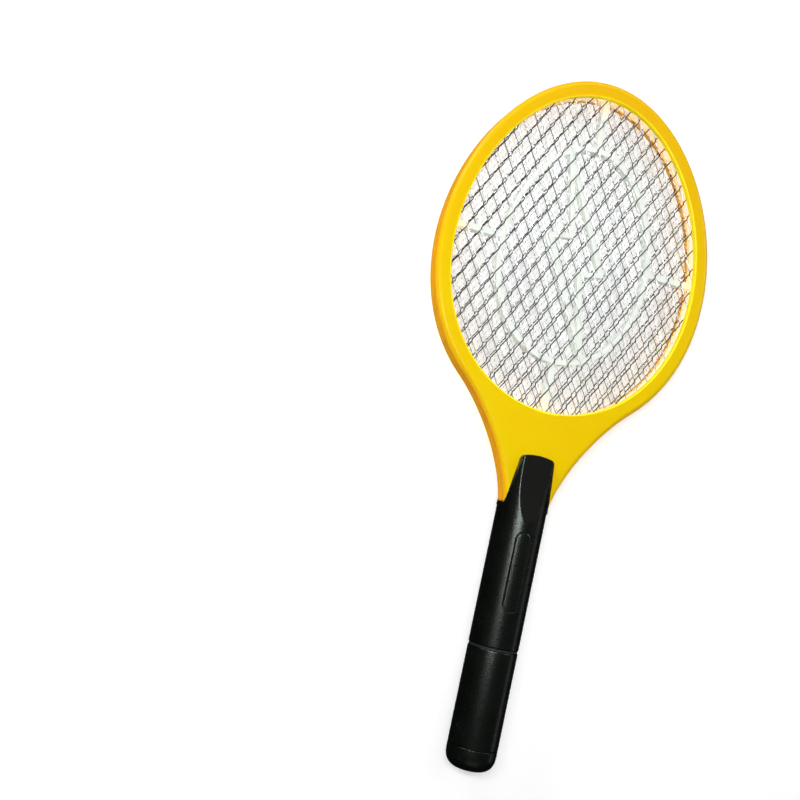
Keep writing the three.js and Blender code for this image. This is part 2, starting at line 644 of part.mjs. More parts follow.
// ---- leads and grid contacts --------------------------------------------------------------
function addLeads() {
  const leadR = 0.8;
  const boardLevel = BOARD_TOP + GAP + leadR;
  const batteryRoute = (side) => [
    [side * TAB_X, 69.6, 4], [side * 7.5, 76, 4], [side * 8, 86, 2],
    [side * 7, 93, boardLevel], [side * 6.4, 98, boardLevel],
  ];
  place('battery_lead_positive', wire(batteryRoute(-1), leadR), LEAD_RED);
  place('battery_lead_negative', wire(batteryRoute(1), leadR), LEAD_BLACK);

  const gridY = 218.7;
  place('centre_grid_lead', wire([
    [-8, 142, boardLevel], [-9, 152, 0], [-7.6, 166, 0.6], [-7, 182, 0.5], [-7.4, 198, 0.2],
    [-9, 210, 0], [-9, gridY, 0],
  ], leadR), LEAD_RED);
  place('front_grid_lead', wire([
    [6, 142, boardLevel], [8, 152, 0], [7.2, 166, 1], [6.6, 182, 2.2], [5.6, 196, 2.8],
    [2, 209, 3.3], [0, gridY, GRID_Z - 0.4],
  ], leadR), LEAD_BLACK);
  place('grid_bridge_lead', wire([
    [4.3, 222, GRID_Z - 0.6], [4.5, 221.4, 2], [4.5, 221.4, -2], [4.7, 222, 0.6 - GRID_Z],
  ], 0.7, { steps: 12 }), LEAD_BLACK);

  const tabs = { centre_grid_tab: [-9, 0], front_grid_tab: [0, GRID_Z], back_grid_tab: [9, -GRID_Z] };
  Object.entries(tabs).forEach(([name, [x, z]]) => {
    const tab = block([x - 3, x + 3], [gridY + 0.4, 229.4], [z - 0.2, z + 0.2]);
    place(name, tab, CONTACT_NICKEL);
  });
}

addFrames();
addSpacers();
addGrids();
addHandleShells();
addScrews();
addSleeve();
addCarrier();
addPower();
addButton();
addBoard();
addLeads();

export default racket;
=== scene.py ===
import math

import bmesh
import bpy
import numpy as np
from mathutils import Matrix, Vector


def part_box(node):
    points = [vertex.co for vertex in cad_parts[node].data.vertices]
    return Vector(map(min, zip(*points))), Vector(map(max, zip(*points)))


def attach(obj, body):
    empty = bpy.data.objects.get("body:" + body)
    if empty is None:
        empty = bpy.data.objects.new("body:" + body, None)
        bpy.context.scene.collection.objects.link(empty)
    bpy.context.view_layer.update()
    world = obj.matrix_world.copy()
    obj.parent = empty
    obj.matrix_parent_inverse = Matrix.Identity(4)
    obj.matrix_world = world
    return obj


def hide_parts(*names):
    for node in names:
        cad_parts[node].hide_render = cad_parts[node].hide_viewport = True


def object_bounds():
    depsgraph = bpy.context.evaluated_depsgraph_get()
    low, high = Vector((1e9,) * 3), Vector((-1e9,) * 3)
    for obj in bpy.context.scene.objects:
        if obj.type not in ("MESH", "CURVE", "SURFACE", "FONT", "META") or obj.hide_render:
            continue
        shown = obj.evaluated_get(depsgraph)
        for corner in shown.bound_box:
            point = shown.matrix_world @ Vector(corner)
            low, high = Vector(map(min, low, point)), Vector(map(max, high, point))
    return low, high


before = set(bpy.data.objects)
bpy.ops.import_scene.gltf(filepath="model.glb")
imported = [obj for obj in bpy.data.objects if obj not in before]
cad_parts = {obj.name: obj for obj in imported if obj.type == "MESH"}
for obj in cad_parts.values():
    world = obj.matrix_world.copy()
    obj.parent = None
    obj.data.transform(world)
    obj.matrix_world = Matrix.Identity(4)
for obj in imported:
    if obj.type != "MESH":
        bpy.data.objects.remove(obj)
CAD_LOW, CAD_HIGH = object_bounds()

# ---- bench measure ------------------------------------------------------------------------
# Shapes are written in millimetres on the bench: y from the handle's end, z from the parting
# plane, x to the right.  to_row() takes them to metres in the row's frame.
MM = 0.001
ZERO = Vector((0, CAD_LOW.y, sum(corner.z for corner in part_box("battery_sleeve")) / 2))


def span(node):
    """The lowest and highest corner of a CAD node, in bench millimetres."""
    low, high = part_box(node)
    return (low - ZERO) / MM, (high - ZERO) / MM


def to_row(points):
    return np.asarray(points, float) * MM + np.array(ZERO)


# ---- driving sizes, from the frame ---------------------------------------------------------
HANDLE_R = span("battery_sleeve")[1].x
GRID_LOW, GRID_HIGH = span("front_grid")
HEAD_Y = (GRID_LOW.y + GRID_HIGH.y) / 2
GRID_Z = (GRID_LOW.z + GRID_HIGH.z) / 2
GRID_RIM = 3
OPENING_A = GRID_HIGH.x - GRID_RIM
OPENING_B = GRID_HIGH.y - HEAD_Y - GRID_RIM
FRAME_LOW, FRAME_HIGH = span("front_frame")
EGG = 0.077                  # share by which the head's ovals narrow towards the tip
RIM = 10
HEAD_A = OPENING_A + RIM - 0.03
HEAD_B = FRAME_HIGH.y - HEAD_Y - 0.03
HEAD_HALF = FRAME_HIGH.z
SPACER_LOW, SPACER_HIGH = (corner.z for corner in span("front_spacer"))
LIP_LOW = GRID_HIGH.z + 0.25

SHOULDER_Y = 171
NECK_HALF = 15.4
TONGUE_TOP = 203
TONGUE_HALF = 11
FACET_LOW = 160.5
FACET_DROP = 3.2
SHELL_LOW = span("front_handle_shell")[0].y
SHELL_WALL = 1.8

scene = bpy.context.scene


# ---- materials ----------------------------------------------------------------------------
RANGE_SOCKETS = ("From Min", "From Max", "To Min", "To Max")
NOISE_RANGE = (0.3, 0.7)     # the part of a noise's values that a material spreads out
NO_DEPTH = 1000              # metres; a scale so large that z adds nothing to a distance


class Look:
    """A Principled material whose nodes are added one at a time."""

    def __init__(self, name, color, roughness, metallic=0.0):
        self.material = bpy.data.materials.new(name)
        self.material.use_nodes = True
        self.tree = self.material.node_tree
        self.shader = self.tree.nodes["Principled BSDF"]
        self.set("Base Color", (*color, 1))
        self.set("Roughness", roughness)
        self.set("Metallic", metallic)
        self.color = color
        self.coordinates = self.tree.nodes.new("ShaderNodeTexCoord")

    def set(self, socket, value):
        self.shader.inputs[socket].default_value = value

    def link(self, source, target):
        self.tree.links.new(source, target)

    def noise(self, size_mm, detail=3.0):
        """A noise whose grains are about size_mm across."""
        texture = self.tree.nodes.new("ShaderNodeTexNoise")
        texture.inputs["Scale"].default_value = 1 / (size_mm * MM)
        texture.inputs["Detail"].default_value = detail
        self.link(self.coordinates.outputs["Object"], texture.inputs["Vector"])
        return texture.outputs["Fac"]

    def remap(self, value, low, high, to_low, to_high):
        node = self.tree.nodes.new("ShaderNodeMapRange")
        for socket, number in zip(RANGE_SOCKETS, (low, high, to_low, to_high)):
            node.inputs[socket].default_value = number
        self.link(value, node.inputs["Value"])
        return node.outputs["Result"]

    def mix(self, factor, first, second):
        """A colour between first and second; each is a colour or another node's output."""
        node = self.tree.nodes.new("ShaderNodeMix")
        node.data_type = "RGBA"
        self.link(factor, node.inputs["Factor"])
        for socket, value in zip(node.inputs[6:8], (first, second)):
            if isinstance(value, tuple):
                socket.default_value = (*value, 1)
            else:
                self.link(value, socket)
        return node.outputs[2]

    def vary_color(self, size_mm, darker, lighter, detail=3.0):
        """Colour that drifts between two strengths of the base colour."""
        shades = [tuple(min(1, c * k) for c in self.color) for k in (darker, lighter)]
        grain = self.remap(self.noise(size_mm, detail), *NOISE_RANGE, 0, 1)
        color = self.mix(grain, *shades)
        self.link(color, self.shader.inputs["Base Color"])
        return color

    def vary_roughness(self, size_mm, low, high):
        grain = self.remap(self.noise(size_mm), *NOISE_RANGE, low, high)
        self.link(grain, self.shader.inputs["Roughness"])

    def bump(self, size_mm, depth_mm, detail=3.0, onto=None):
        """Fine relief on the surface, over the relief of another bump if onto is given."""
        node = self.tree.nodes.new("ShaderNodeBump")
        node.inputs["Distance"].default_value = depth_mm * MM
        node.inputs["Strength"].default_value = 1.0
        self.link(self.noise(size_mm, detail), node.inputs["Height"])
        if onto is not None:
            self.link(onto, node.inputs["Normal"])
        self.link(node.outputs["Normal"], self.shader.inputs["Normal"])
        return node.outputs["Normal"]

    def part(self, vector, axis):
        """One axis of the surface's place ("Object", in metres) or of its direction ("Normal")."""
        node = self.tree.nodes.new("ShaderNodeSeparateXYZ")
        self.link(self.coordinates.outputs[vector], node.inputs["Vector"])
        return node.outputs[axis]

    def absolute(self, value):
        node = self.tree.nodes.new("ShaderNodeMath")
        node.operation = "ABSOLUTE"
        self.link(value, node.inputs[0])
        return node.outputs[0]

    def oval_distance(self):
        """How far out a point lies from the head's centre, 1 being the edge of the opening."""
        middle = self.tree.nodes.new("ShaderNodeMapping")
        middle.vector_type = "TEXTURE"
        middle.inputs["Location"].default_value = to_row((0, HEAD_Y, 0))
        middle.inputs["Scale"].default_value = (OPENING_A * MM, OPENING_B * MM, NO_DEPTH)
        self.link(self.coordinates.outputs["Object"], middle.inputs["Vector"])
        length = self.tree.nodes.new("ShaderNodeVectorMath")
        length.operation = "LENGTH"
        self.link(middle.outputs["Vector"], length.inputs[0])
        return length.outputs["Value"]


def frame_yellow():
    """Satin yellow with painted shade: its sides are painted deeper than its faces, as less light
    falls on them, and it is a little warmer at the tip.
    """
    shaded_side_tone, lit_face_tone = (0.93, 0.38, 0.001), (0.90, 0.63, 0.001)
    warm_tone, tip_tone = (0.92, 0.50, 0.001), (0.92, 0.45, 0.001)
    look = Look("frame_yellow", lit_face_tone, 0.32)
    look.set("Specular IOR Level", 0.3)
    look.set("Specular Tint", (1.0, 0.85, 0.4, 1))
    # painted shade: the more a surface turns from facing up, the more of the deeper side tone it
    # takes
    face = look.remap(look.absolute(look.part("Normal", "Z")), 0.25, 0.97, 0, 1)
    drift = look.remap(look.noise(45, 2), 0.35, 0.65, 0, 0.3)
    tip = look.remap(look.part("Object", "Y"), 0.06, 0.22, 0, 0.5)
    color = look.mix(face, shaded_side_tone, lit_face_tone)
    color = look.mix(tip, look.mix(drift, color, warm_tone), tip_tone)
    look.link(color, look.shader.inputs["Base Color"])
    look.vary_roughness(0.6, 0.25, 0.38)
    look.bump(0.45, 0.012, onto=look.bump(14, 0.05, detail=1))
    return look.material


def lit_lip_yellow():
    """A lit copy of the frame's yellow, with a painted glow, for the front half's thin lip around
    the opening; the lip also lets some light through.
    """
    look = Look("lit_lip_yellow", (1.0, 0.76, 0.01), 0.35)
    # painted glow, which lights the lip's inner wall as if light fell on it
    look.set("Emission Color", (1.0, 0.66, 0.01, 1))
    look.set("Emission Strength", 0.22)
    look.set("Specular IOR Level", 0.3)
    look.set("Subsurface Weight", 0.4)
    look.set("Subsurface Radius", (0.004, 0.003, 0.001))
    look.set("Subsurface Scale", 1.0)
    look.vary_color(5, 0.95, 1.04)
    look.vary_roughness(0.6, 0.28, 0.42)
    look.bump(0.45, 0.012)
    return look.material


def spacer_white():
    """Natural white plastic with a painted glow, stronger out on its rim, which stands in for the
    light that it lets through and lifts its shaded walls. Its rim is painted with the yellow that
    the frame around it throws onto it, more so towards the back."""
    rim_bounce_tone, deep_rim_bounce_tone = (1.0, 0.80, 0.54), (1.0, 0.64, 0.30)
    rim = (0.88, 0.97)
    look = Look("spacer_white", (0.88, 0.93, 0.86), 0.42)
    look.set("Subsurface Weight", 0.3)
    look.set("Subsurface Radius", (0.004, 0.004, 0.003))
    look.set("Subsurface Scale", 1.0)
    white = look.vary_color(6, 0.95, 1.02)
    distance = look.oval_distance()
    rim_bounce_share = look.remap(distance, *rim, 0, 1)
    # painted glow, which rises out towards the rim
    painted_glow_strength = look.remap(distance, *rim, 0.10, 0.42)
    look.link(painted_glow_strength, look.shader.inputs["Emission Strength"])
    half = SPACER_HIGH / 2 * MM
    deep = look.remap(look.part("Object", "Z"), ZERO.z - half, ZERO.z + half, 1, 0)
    # painted reflection of the frame's yellow on the rim, deeper towards the back
    color = look.mix(rim_bounce_share, white, look.mix(deep, rim_bounce_tone, deep_rim_bounce_tone))
    look.link(color, look.shader.inputs["Base Color"])
    look.link(color, look.shader.inputs["Emission Color"])
    look.vary_roughness(1.2, 0.34, 0.5)
    look.bump(0.7, 0.01)
    return look.material


def grid_metal(name, tone):
    """Dull steel of the coarse grids, in two tones: the strands that run one way are paler, which
    stands in for the light that the lean of real strands catches."""
    look = Look(name, (tone, tone, tone), 0.36, 1.0)
    look.vary_color(3, 0.7, 1.3)
    look.vary_roughness(0.8, 0.28, 0.46)
    look.bump(0.35, 0.02)
    return look.material


def grid_bright():
    """The strands of the fine grid."""
    look = Look("grid_bright", (0.84, 0.85, 0.85), 0.35, 0.4)
    look.vary_color(2.5, 0.75, 1.15)
    look.vary_roughness(0.8, 0.2, 0.45)
    look.bump(0.3, 0.015)
    return look.material


def shaded_grid_bond():
    """The bonds of the fine grid, dull, and painted dark as the shade on their tilted faces."""
    look = Look("shaded_grid_bond", (0.07, 0.08, 0.07), 0.5, 0.6)
    look.vary_color(1.5, 0.6, 1.4)
    look.vary_roughness(0.5, 0.4, 0.6)
    look.bump(0.3, 0.02)
    return look.material


def handle_black():
    """Satin black plastic of the shells, sleeve and cap."""
    look = Look("handle_black", (0.0020, 0.0028, 0.0020), 0.32)
    look.set("Specular IOR Level", 0.42)
    look.set("Specular Tint", (0.90, 1.0, 0.93, 1))
    look.vary_color(9, 0.75, 1.35)
    look.vary_roughness(0.9, 0.25, 0.33)
    look.bump(0.4, 0.02, onto=look.bump(20, 0.04, detail=1))
    return look.material


def handle_grain():
    """The spark-textured facet: coarser, greyer and duller than the grip around it."""
    look = Look("handle_grain", (0.0030, 0.0034, 0.0024), 0.55)
    look.set("Specular IOR Level", 0.14)
    look.vary_color(0.5, 0.5, 1.9, detail=2)
    look.vary_roughness(0.5, 0.48, 0.75)
    look.bump(0.45, 0.06, detail=2)
    return look.material


def plain(name, color, roughness, grain_mm=0.6, depth_mm=0.012, metallic=0.0):
    """A moulded or plated surface with a fine grain, for the smaller parts."""
    look = Look(name, color, roughness, metallic)
    look.vary_color(grain_mm * 8, 0.85, 1.15)
    look.vary_roughness(grain_mm * 2, roughness * 0.8, min(1, roughness * 1.25))
    look.bump(grain_mm, depth_mm)
    return look.material


def lens_clear():
    """Clear epoxy of the indicator."""
    look = Look("lens_clear", (0.86, 0.89, 0.88), 0.12)
    look.set("Transmission Weight", 0.75)
    look.set("IOR", 1.5)
    look.vary_roughness(0.5, 0.06, 0.2)
    look.bump(0.8, 0.005)
    return look.material


def cell_jacket():
    """Plain dark green film over a steel can."""
    look = Look("cell_jacket", (0.03, 0.16, 0.07), 0.28, 0.35)
    look.set("Coat Weight", 0.5)
    look.set("Coat Roughness", 0.12)
    look.vary_color(4, 0.85, 1.15)
    look.vary_roughness(2, 0.22, 0.34)
    look.bump(3, 0.01)
    return look.material


YELLOW = frame_yellow()
LIT_LIP_YELLOW = lit_lip_yellow()
WHITE = spacer_white()
DARK_METAL = grid_metal("grid_dark", 0.05)
PALE_METAL = grid_metal("grid_pale", 0.34)
BRIGHT_METAL = grid_bright()
SHADED_BOND_METAL = shaded_grid_bond()
BLACK = handle_black()
GRAIN = handle_grain()
RED = plain("button_red", (0.62, 0.012, 0.010), 0.26)
CARRIER = plain("carrier_black", (0.018, 0.018, 0.018), 0.55)
STEEL = plain("screw_steel", (0.50, 0.51, 0.53), 0.32, 0.3, 0.01, 1.0)
NICKEL = plain("contact_nickel", (0.72, 0.70, 0.64), 0.24, 0.4, 0.008, 1.0)
CHIP = plain("chip_black", (0.02, 0.02, 0.021), 0.45)
BOARD = plain("board_tan", (0.42, 0.24, 0.09), 0.5, 0.8, 0.02)
FERRITE = plain("ferrite", (0.035, 0.034, 0.036), 0.5, 0.35, 0.03)
WINDING = plain("winding_tape", (0.78, 0.55, 0.05), 0.35, 1.0, 0.02)
CAPACITOR = plain("capacitor_red", (0.42, 0.07, 0.02), 0.2, 1.5, 0.02)
RESISTOR = plain("resistor_tan", (0.62, 0.44, 0.25), 0.45)
LEAD_RED = plain("lead_red", (0.50, 0.02, 0.015), 0.4)
LEAD_BLACK = plain("lead_black", (0.014, 0.014, 0.014), 0.42)
LENS = lens_clear()
JACKET = cell_jacket()


# ---- meshes -------------------------------------------------------------------------------
WELD = 0.002                 # points of a new mesh nearer than this become one
AXIS = 0.001                 # radius of the small ring that closes a turned shape on its axis


def around(sides):
    """The angles of a ring's points."""
    return np.arange(sides) * 2 * math.pi / sides


def shade(obj, sharp=32):
    """Smooth shading, with the edges above an angle in degrees left sharp."""
    obj.data.shade_smooth()
    obj.data.set_sharp_from_angle(angle=math.radians(sharp))
    return obj


def link(name, data):
    """A new object in the scene, from a mesh, a light or a camera."""
    obj = bpy.data.objects.new(name, data)
    scene.collection.objects.link(obj)
    return obj


def make(name, points, faces, turned_over=False, sharp=32):
    """A smooth-shaded mesh from bench millimetres. turned_over gives its mirror image in z."""
    points = np.array(points, float)
    if turned_over:
        points[:, 2] *= -1
        faces = [face[::-1] for face in faces]
    mesh = bpy.data.meshes.new(name)
    mesh.from_pydata(to_row(points).tolist(), [], [list(face) for face in faces])
    welded = bmesh.new()
    welded.from_mesh(mesh)
    bmesh.ops.remove_doubles(welded, verts=welded.verts, dist=WELD * MM)
    welded.to_mesh(mesh)
    welded.free()
    return shade(link(name, mesh), sharp)


def settle(obj, body, slot, node, *looks):
    """Gives a finished piece its materials and its body, and hides the CAD node that it stands
    for. Its slot is not used.
    """
    for look in looks:
        obj.data.materials.append(look)
    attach(obj, body)
    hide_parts(node)


def loft(rings, close_ends=False):
    """Points and quads of a grid of rings, each a loop of the same number of points."""
    rings = np.asarray(rings, float)
    count, size = rings.shape[:2]
    faces = []
    for k in range(count if close_ends else count - 1):
        for i in range(size):
            j = (i + 1) % size
            upper = (k + 1) % count
            faces.append((k * size + i, k * size + j, upper * size + j, upper * size + i))
    return rings.reshape(-1, 3), faces


def rounded(profile, radii, steps=4):
    """The profile with each corner that has a radius turned into a short arc."""
    result = []
    for i, corner in enumerate(profile):
        radius = radii.get(i, 0)
        here = np.array(corner, float)
        if radius == 0:
            result.append(tuple(here))
            continue
        before = np.array(profile[i - 1], float) - here
        after = np.array(profile[(i + 1) % len(profile)], float) - here
        start = here + before / np.linalg.norm(before) * radius
        end = here + after / np.linalg.norm(after) * radius
        for t in np.linspace(0, 1, steps + 1):
            result.append(tuple((1 - t) ** 2 * start + 2 * t * (1 - t) * here + t ** 2 * end))
    return result


def modify(obj, kind, **settings):
    modifier = obj.modifiers.new(kind.lower(), kind)
    for key, value in settings.items():
        setattr(modifier, key, value)


def apply_modifiers(obj):
    """Bakes an object's modifiers into its mesh."""
    evaluated = obj.evaluated_get(bpy.context.evaluated_depsgraph_get())
    mesh = bpy.data.meshes.new_from_object(evaluated)
    obj.modifiers.clear()
    obj.data = mesh


def combine(obj, operation, tools):
    """Joins or cuts an object with other closed objects, which are used up."""
    for tool in tools:
        modify(obj, "BOOLEAN", object=tool, operation=operation, solver="EXACT")
        apply_modifiers(obj)
        bpy.data.objects.remove(tool)


def bevel(obj, width_mm, sharp):
    """Rounds an object's edges above an angle in degrees."""
    modify(obj, "BEVEL", width=width_mm * MM, segments=2, limit_method="ANGLE",
           angle_limit=math.radians(sharp))


# ---- plan outlines ------------------------------------------------------------------------
def oval(half_x, half_y, turns):
    """Points of one of the head's ovals, which narrow a little towards the tip."""
    width = half_x * np.cos(turns) * (1 - EGG * np.sin(turns))
    return np.stack([width, HEAD_Y + half_y * np.sin(turns)], axis=1)


def bezier(start, first, second, end, count):
    """Points of a cubic curve from its two ends and the two handles between them."""
    t = np.linspace(0, 1, count)[:, None]
    points = [np.array(p, float) for p in (start, first, second, end)]
    weights = [(1 - t) ** 3, 3 * t * (1 - t) ** 2, 3 * t ** 2 * (1 - t), t ** 3]
    return sum(w * p for w, p in zip(weights, points))


NECK_JOIN = 94               # how far below the head's middle the neck runs into its oval
NECK_PULL = (2.4, 19)        # handle of the neck's curve at the shoulder
HEAD_PULL = 21               # and where it joins the head
FRAME_FOOT = (1.2, 3)        # how far the neck's foot lies in from and below the shoulder


def head_outline(neck_count=60, head_count=260):
    """The frame's outline, anticlockwise from the middle of the neck's lower edge, and for each
    of its points the turn of the point of the opening that it is matched with."""
    join = -math.asin(NECK_JOIN / HEAD_B)
    join_point = oval(HEAD_A, HEAD_B, np.array([join]))[0]
    run = -HEAD_A * (math.sin(join) + EGG * math.cos(2 * join))
    slope = run / (HEAD_B * math.cos(join))
    flare = (join_point[0] - HEAD_PULL * slope, join_point[1] - HEAD_PULL)
    foot_y = SHOULDER_Y - FRAME_FOOT[1]
    foot = [(0, foot_y), (NECK_HALF - FRAME_FOOT[0], foot_y)]
    neck = bezier((NECK_HALF, SHOULDER_Y), (NECK_HALF + NECK_PULL[0], SHOULDER_Y + NECK_PULL[1]),
                  flare, join_point, neck_count)
    right = np.concatenate([foot, neck[:-1]])
    head_turns = np.linspace(join, math.pi - join, head_count)
    head = oval(HEAD_A, HEAD_B, head_turns)
    left = right[:0:-1] * (-1, 1)
    lengths = np.linalg.norm(np.diff(np.concatenate([right, head[:1]]), axis=0), axis=1)
    share = np.concatenate([[0], np.cumsum(lengths)]) / lengths.sum()
    rise = -math.pi / 2 + (join + math.pi / 2) * share[:-1]
    turns = np.concatenate([rise, head_turns, math.pi - rise[:0:-1]])
    return np.concatenate([right, head, left]), turns


def inward(outline):
    """The inward normal at each point of an anticlockwise outline."""
    tangent = np.roll(outline, -1, axis=0) - np.roll(outline, 1, axis=0)
    tangent /= np.linalg.norm(tangent, axis=1)[:, None]
    return np.stack([-tangent[:, 1], tangent[:, 0]], axis=1)


def at_height(plan, z):
    return np.column_stack([plan, np.full(len(plan), z)])


# ---- head frame ---------------------------------------------------------------------------
SEAM = 0.12                  # from the parting plane to the edge of a frame or handle half
LIP_REACH = 1.2              # width of the ring painted as the lip, out from the opening


def frame_half(name, turned_over):
    """One half of the yellow frame: a moulded channel with a rounded outer edge."""
    outline, turns = head_outline()
    normals = inward(outline)
    normals[[0, 1, -1]] = [(0, 0), (-1, 0), (1, 0)]
    edge, lip, wall = 3.5, 1.0, 2.0

    def outer(inset, z):
        return at_height(outline + normals * inset, z)

    def hole(outset, z):
        return at_height(oval(OPENING_A + outset, OPENING_B + outset, turns), z)

    rings = [outer(0.3, SEAM), outer(0.08, SEAM + 0.1), outer(0, SEAM + 0.35)]
    for turn in np.linspace(0, math.pi / 2, 9):
        inset = edge * (1 - math.cos(turn))
        rings.append(outer(inset, HEAD_HALF - edge + edge * math.sin(turn)))
    rings.append(outer(edge + 0.5, HEAD_HALF))
    rings.append(hole(lip + 0.5, HEAD_HALF))
    for turn in np.linspace(0, math.pi / 2, 6):
        outset = lip * (1 - math.sin(turn))
        rings.append(hole(outset, HEAD_HALF - lip + lip * math.cos(turn)))
    under = HEAD_HALF - wall
    rings += [hole(0, LIP_LOW), hole(wall, LIP_LOW), hole(wall, under)]
    rings += [outer(wall + 1, under), outer(wall, under - 1), outer(wall, SEAM)]
    points, faces = loft(rings, close_ends=True)
    obj = make(name, points, faces, turned_over, sharp=50)
    modify(obj, "WEIGHTED_NORMAL", keep_sharp=True)
    return obj


def oval_share(x, y, half_x, half_y):
    """How far out a point lies in one of the head's ovals, 1 being on it."""
    return math.hypot(x / (half_x * (1 - EGG * y / half_y)), y / half_y)


def paint_lit_lip(obj):
    """Gives the faces around the opening the second material, the lit copy of the yellow with its
    painted glow.
    """
    obj.data.materials.append(LIT_LIP_YELLOW)
    half_a, half_b = OPENING_A + LIP_REACH, OPENING_B + LIP_REACH
    for polygon in obj.data.polygons:
        x, y, _ = (polygon.center - ZERO) / MM
        if oval_share(x, y - HEAD_Y, half_a, half_b) < 1:
            polygon.material_index = 1


for side, over in (("front", False), ("back", True)):
    half = frame_half(f"{side}_frame_shell", over)
    settle(half, "racket", "frame_yellow", f"{side}_frame", YELLOW)
    # only the front lip gets the painted light; the back lip keeps the plain yellow
    if side == "front":
        paint_lit_lip(half)


# ---- spacers ------------------------------------------------------------------------------
# Plan places here are measured from the head's centre.
OVAL_A, OVAL_B = 51.5, 72
SPACER_RIM = 4
BAR, SPOKE = 3.4, 4.2        # widths of the brace and inner oval, and of the spokes
SPOKE_OVERLAP = (0.7, 1.5)   # a spoke's ends lie this far outside the inner oval and the opening
BRACE_HALF = [(-17, 66), (20, -9), (5, -12)]
BRACE = BRACE_HALF + [(-x, -y) for x, y in BRACE_HALF]
BRACE_FOOT = (-19.2, 69.2)   # where the brace's ends reach the inner oval, here and opposite
BAR_STEP = 0.004             # each bar is this much thinner than the last, so no faces coincide


def oval_band(name, half_x, half_y, width, z0, z1, sides=200):
    """An oval ring of a rectangular section, its middle on the oval."""
    rings = []
    for grow, z in ((0.5, z0), (0.5, z1), (-0.5, z1), (-0.5, z0)):
        plan = oval(half_x + grow * width, half_y + grow * width, around(sides))
        rings.append(at_height(plan, z))
    return make(name, *loft(rings, close_ends=True))


def bar_between(name, start, end, width, z0, z1):
    """A bar with round ends between two points of the head, measured from its centre."""
    start, end = np.array(start, float), np.array(end, float)
    along = math.atan2(*(end - start)[::-1])
    plan = []
    for middle, facing in ((end, along), (start, along + math.pi)):
        for turn in np.linspace(-math.pi / 2, math.pi / 2, 7):
            reach = width / 2 * np.array([math.cos(facing + turn), math.sin(facing + turn)])
            plan.append(middle + reach + (0, HEAD_Y))
    count = len(plan)
    points = [(*p, z0) for p in plan] + [(*p, z1) for p in plan]
    faces = [tuple(range(count))[::-1], tuple(range(count, 2 * count))]
    faces += [(i, (i + 1) % count, count + (i + 1) % count, count + i) for i in range(count)]
    return make(name, points, faces)


def spacer(name, turned_over):
    """The white inner frame: rim, spokes, inner oval and zig-zag brace, moulded in one."""
    z0, z1 = SPACER_LOW, SPACER_HIGH
    if turned_over:
        z0, z1 = -z1, -z0
    rim = SPACER_RIM
    obj = oval_band(name, OPENING_A + rim / 2, OPENING_B + rim / 2, rim, z0, z1)
    past_oval, past_opening = SPOKE_OVERLAP
    near_x, far_x = OVAL_A + past_oval, OPENING_A + past_opening
    near_y, far_y = OVAL_B + past_oval, OPENING_B + past_opening
    bars = [((0, near_y), (0, far_y), SPOKE), ((0, -near_y), (0, -far_y), SPOKE),
            ((near_x, 0), (far_x, 0), SPOKE), ((-near_x, 0), (-far_x, 0), SPOKE)]
    bars += [(BRACE[i - 1], BRACE[i], BAR) for i in range(len(BRACE))]
    foot = np.array(BRACE_FOOT)
    bars += [(BRACE[0], foot, BAR), (BRACE[3], -foot, BAR)]
    tools = [oval_band("oval_tool", OVAL_A, OVAL_B, BAR, z0, z1)]
    for index, (start, end, width) in enumerate(bars):
        thinner = BAR_STEP * (index + 1)
        tools.append(bar_between(f"bar_tool_{index}", start, end, width,
                                 z0 + thinner, z1 - thinner))
    combine(obj, "UNION", tools)
    shade(obj)
    bevel(obj, 0.3, 40)
    modify(obj, "WEIGHTED_NORMAL", keep_sharp=True)
    return obj


for side, over in (("front", False), ("back", True)):
    white = spacer(f"{side}_spacer_frame", over)
    settle(white, "racket", "spacer_white", f"{side}_spacer", WHITE)


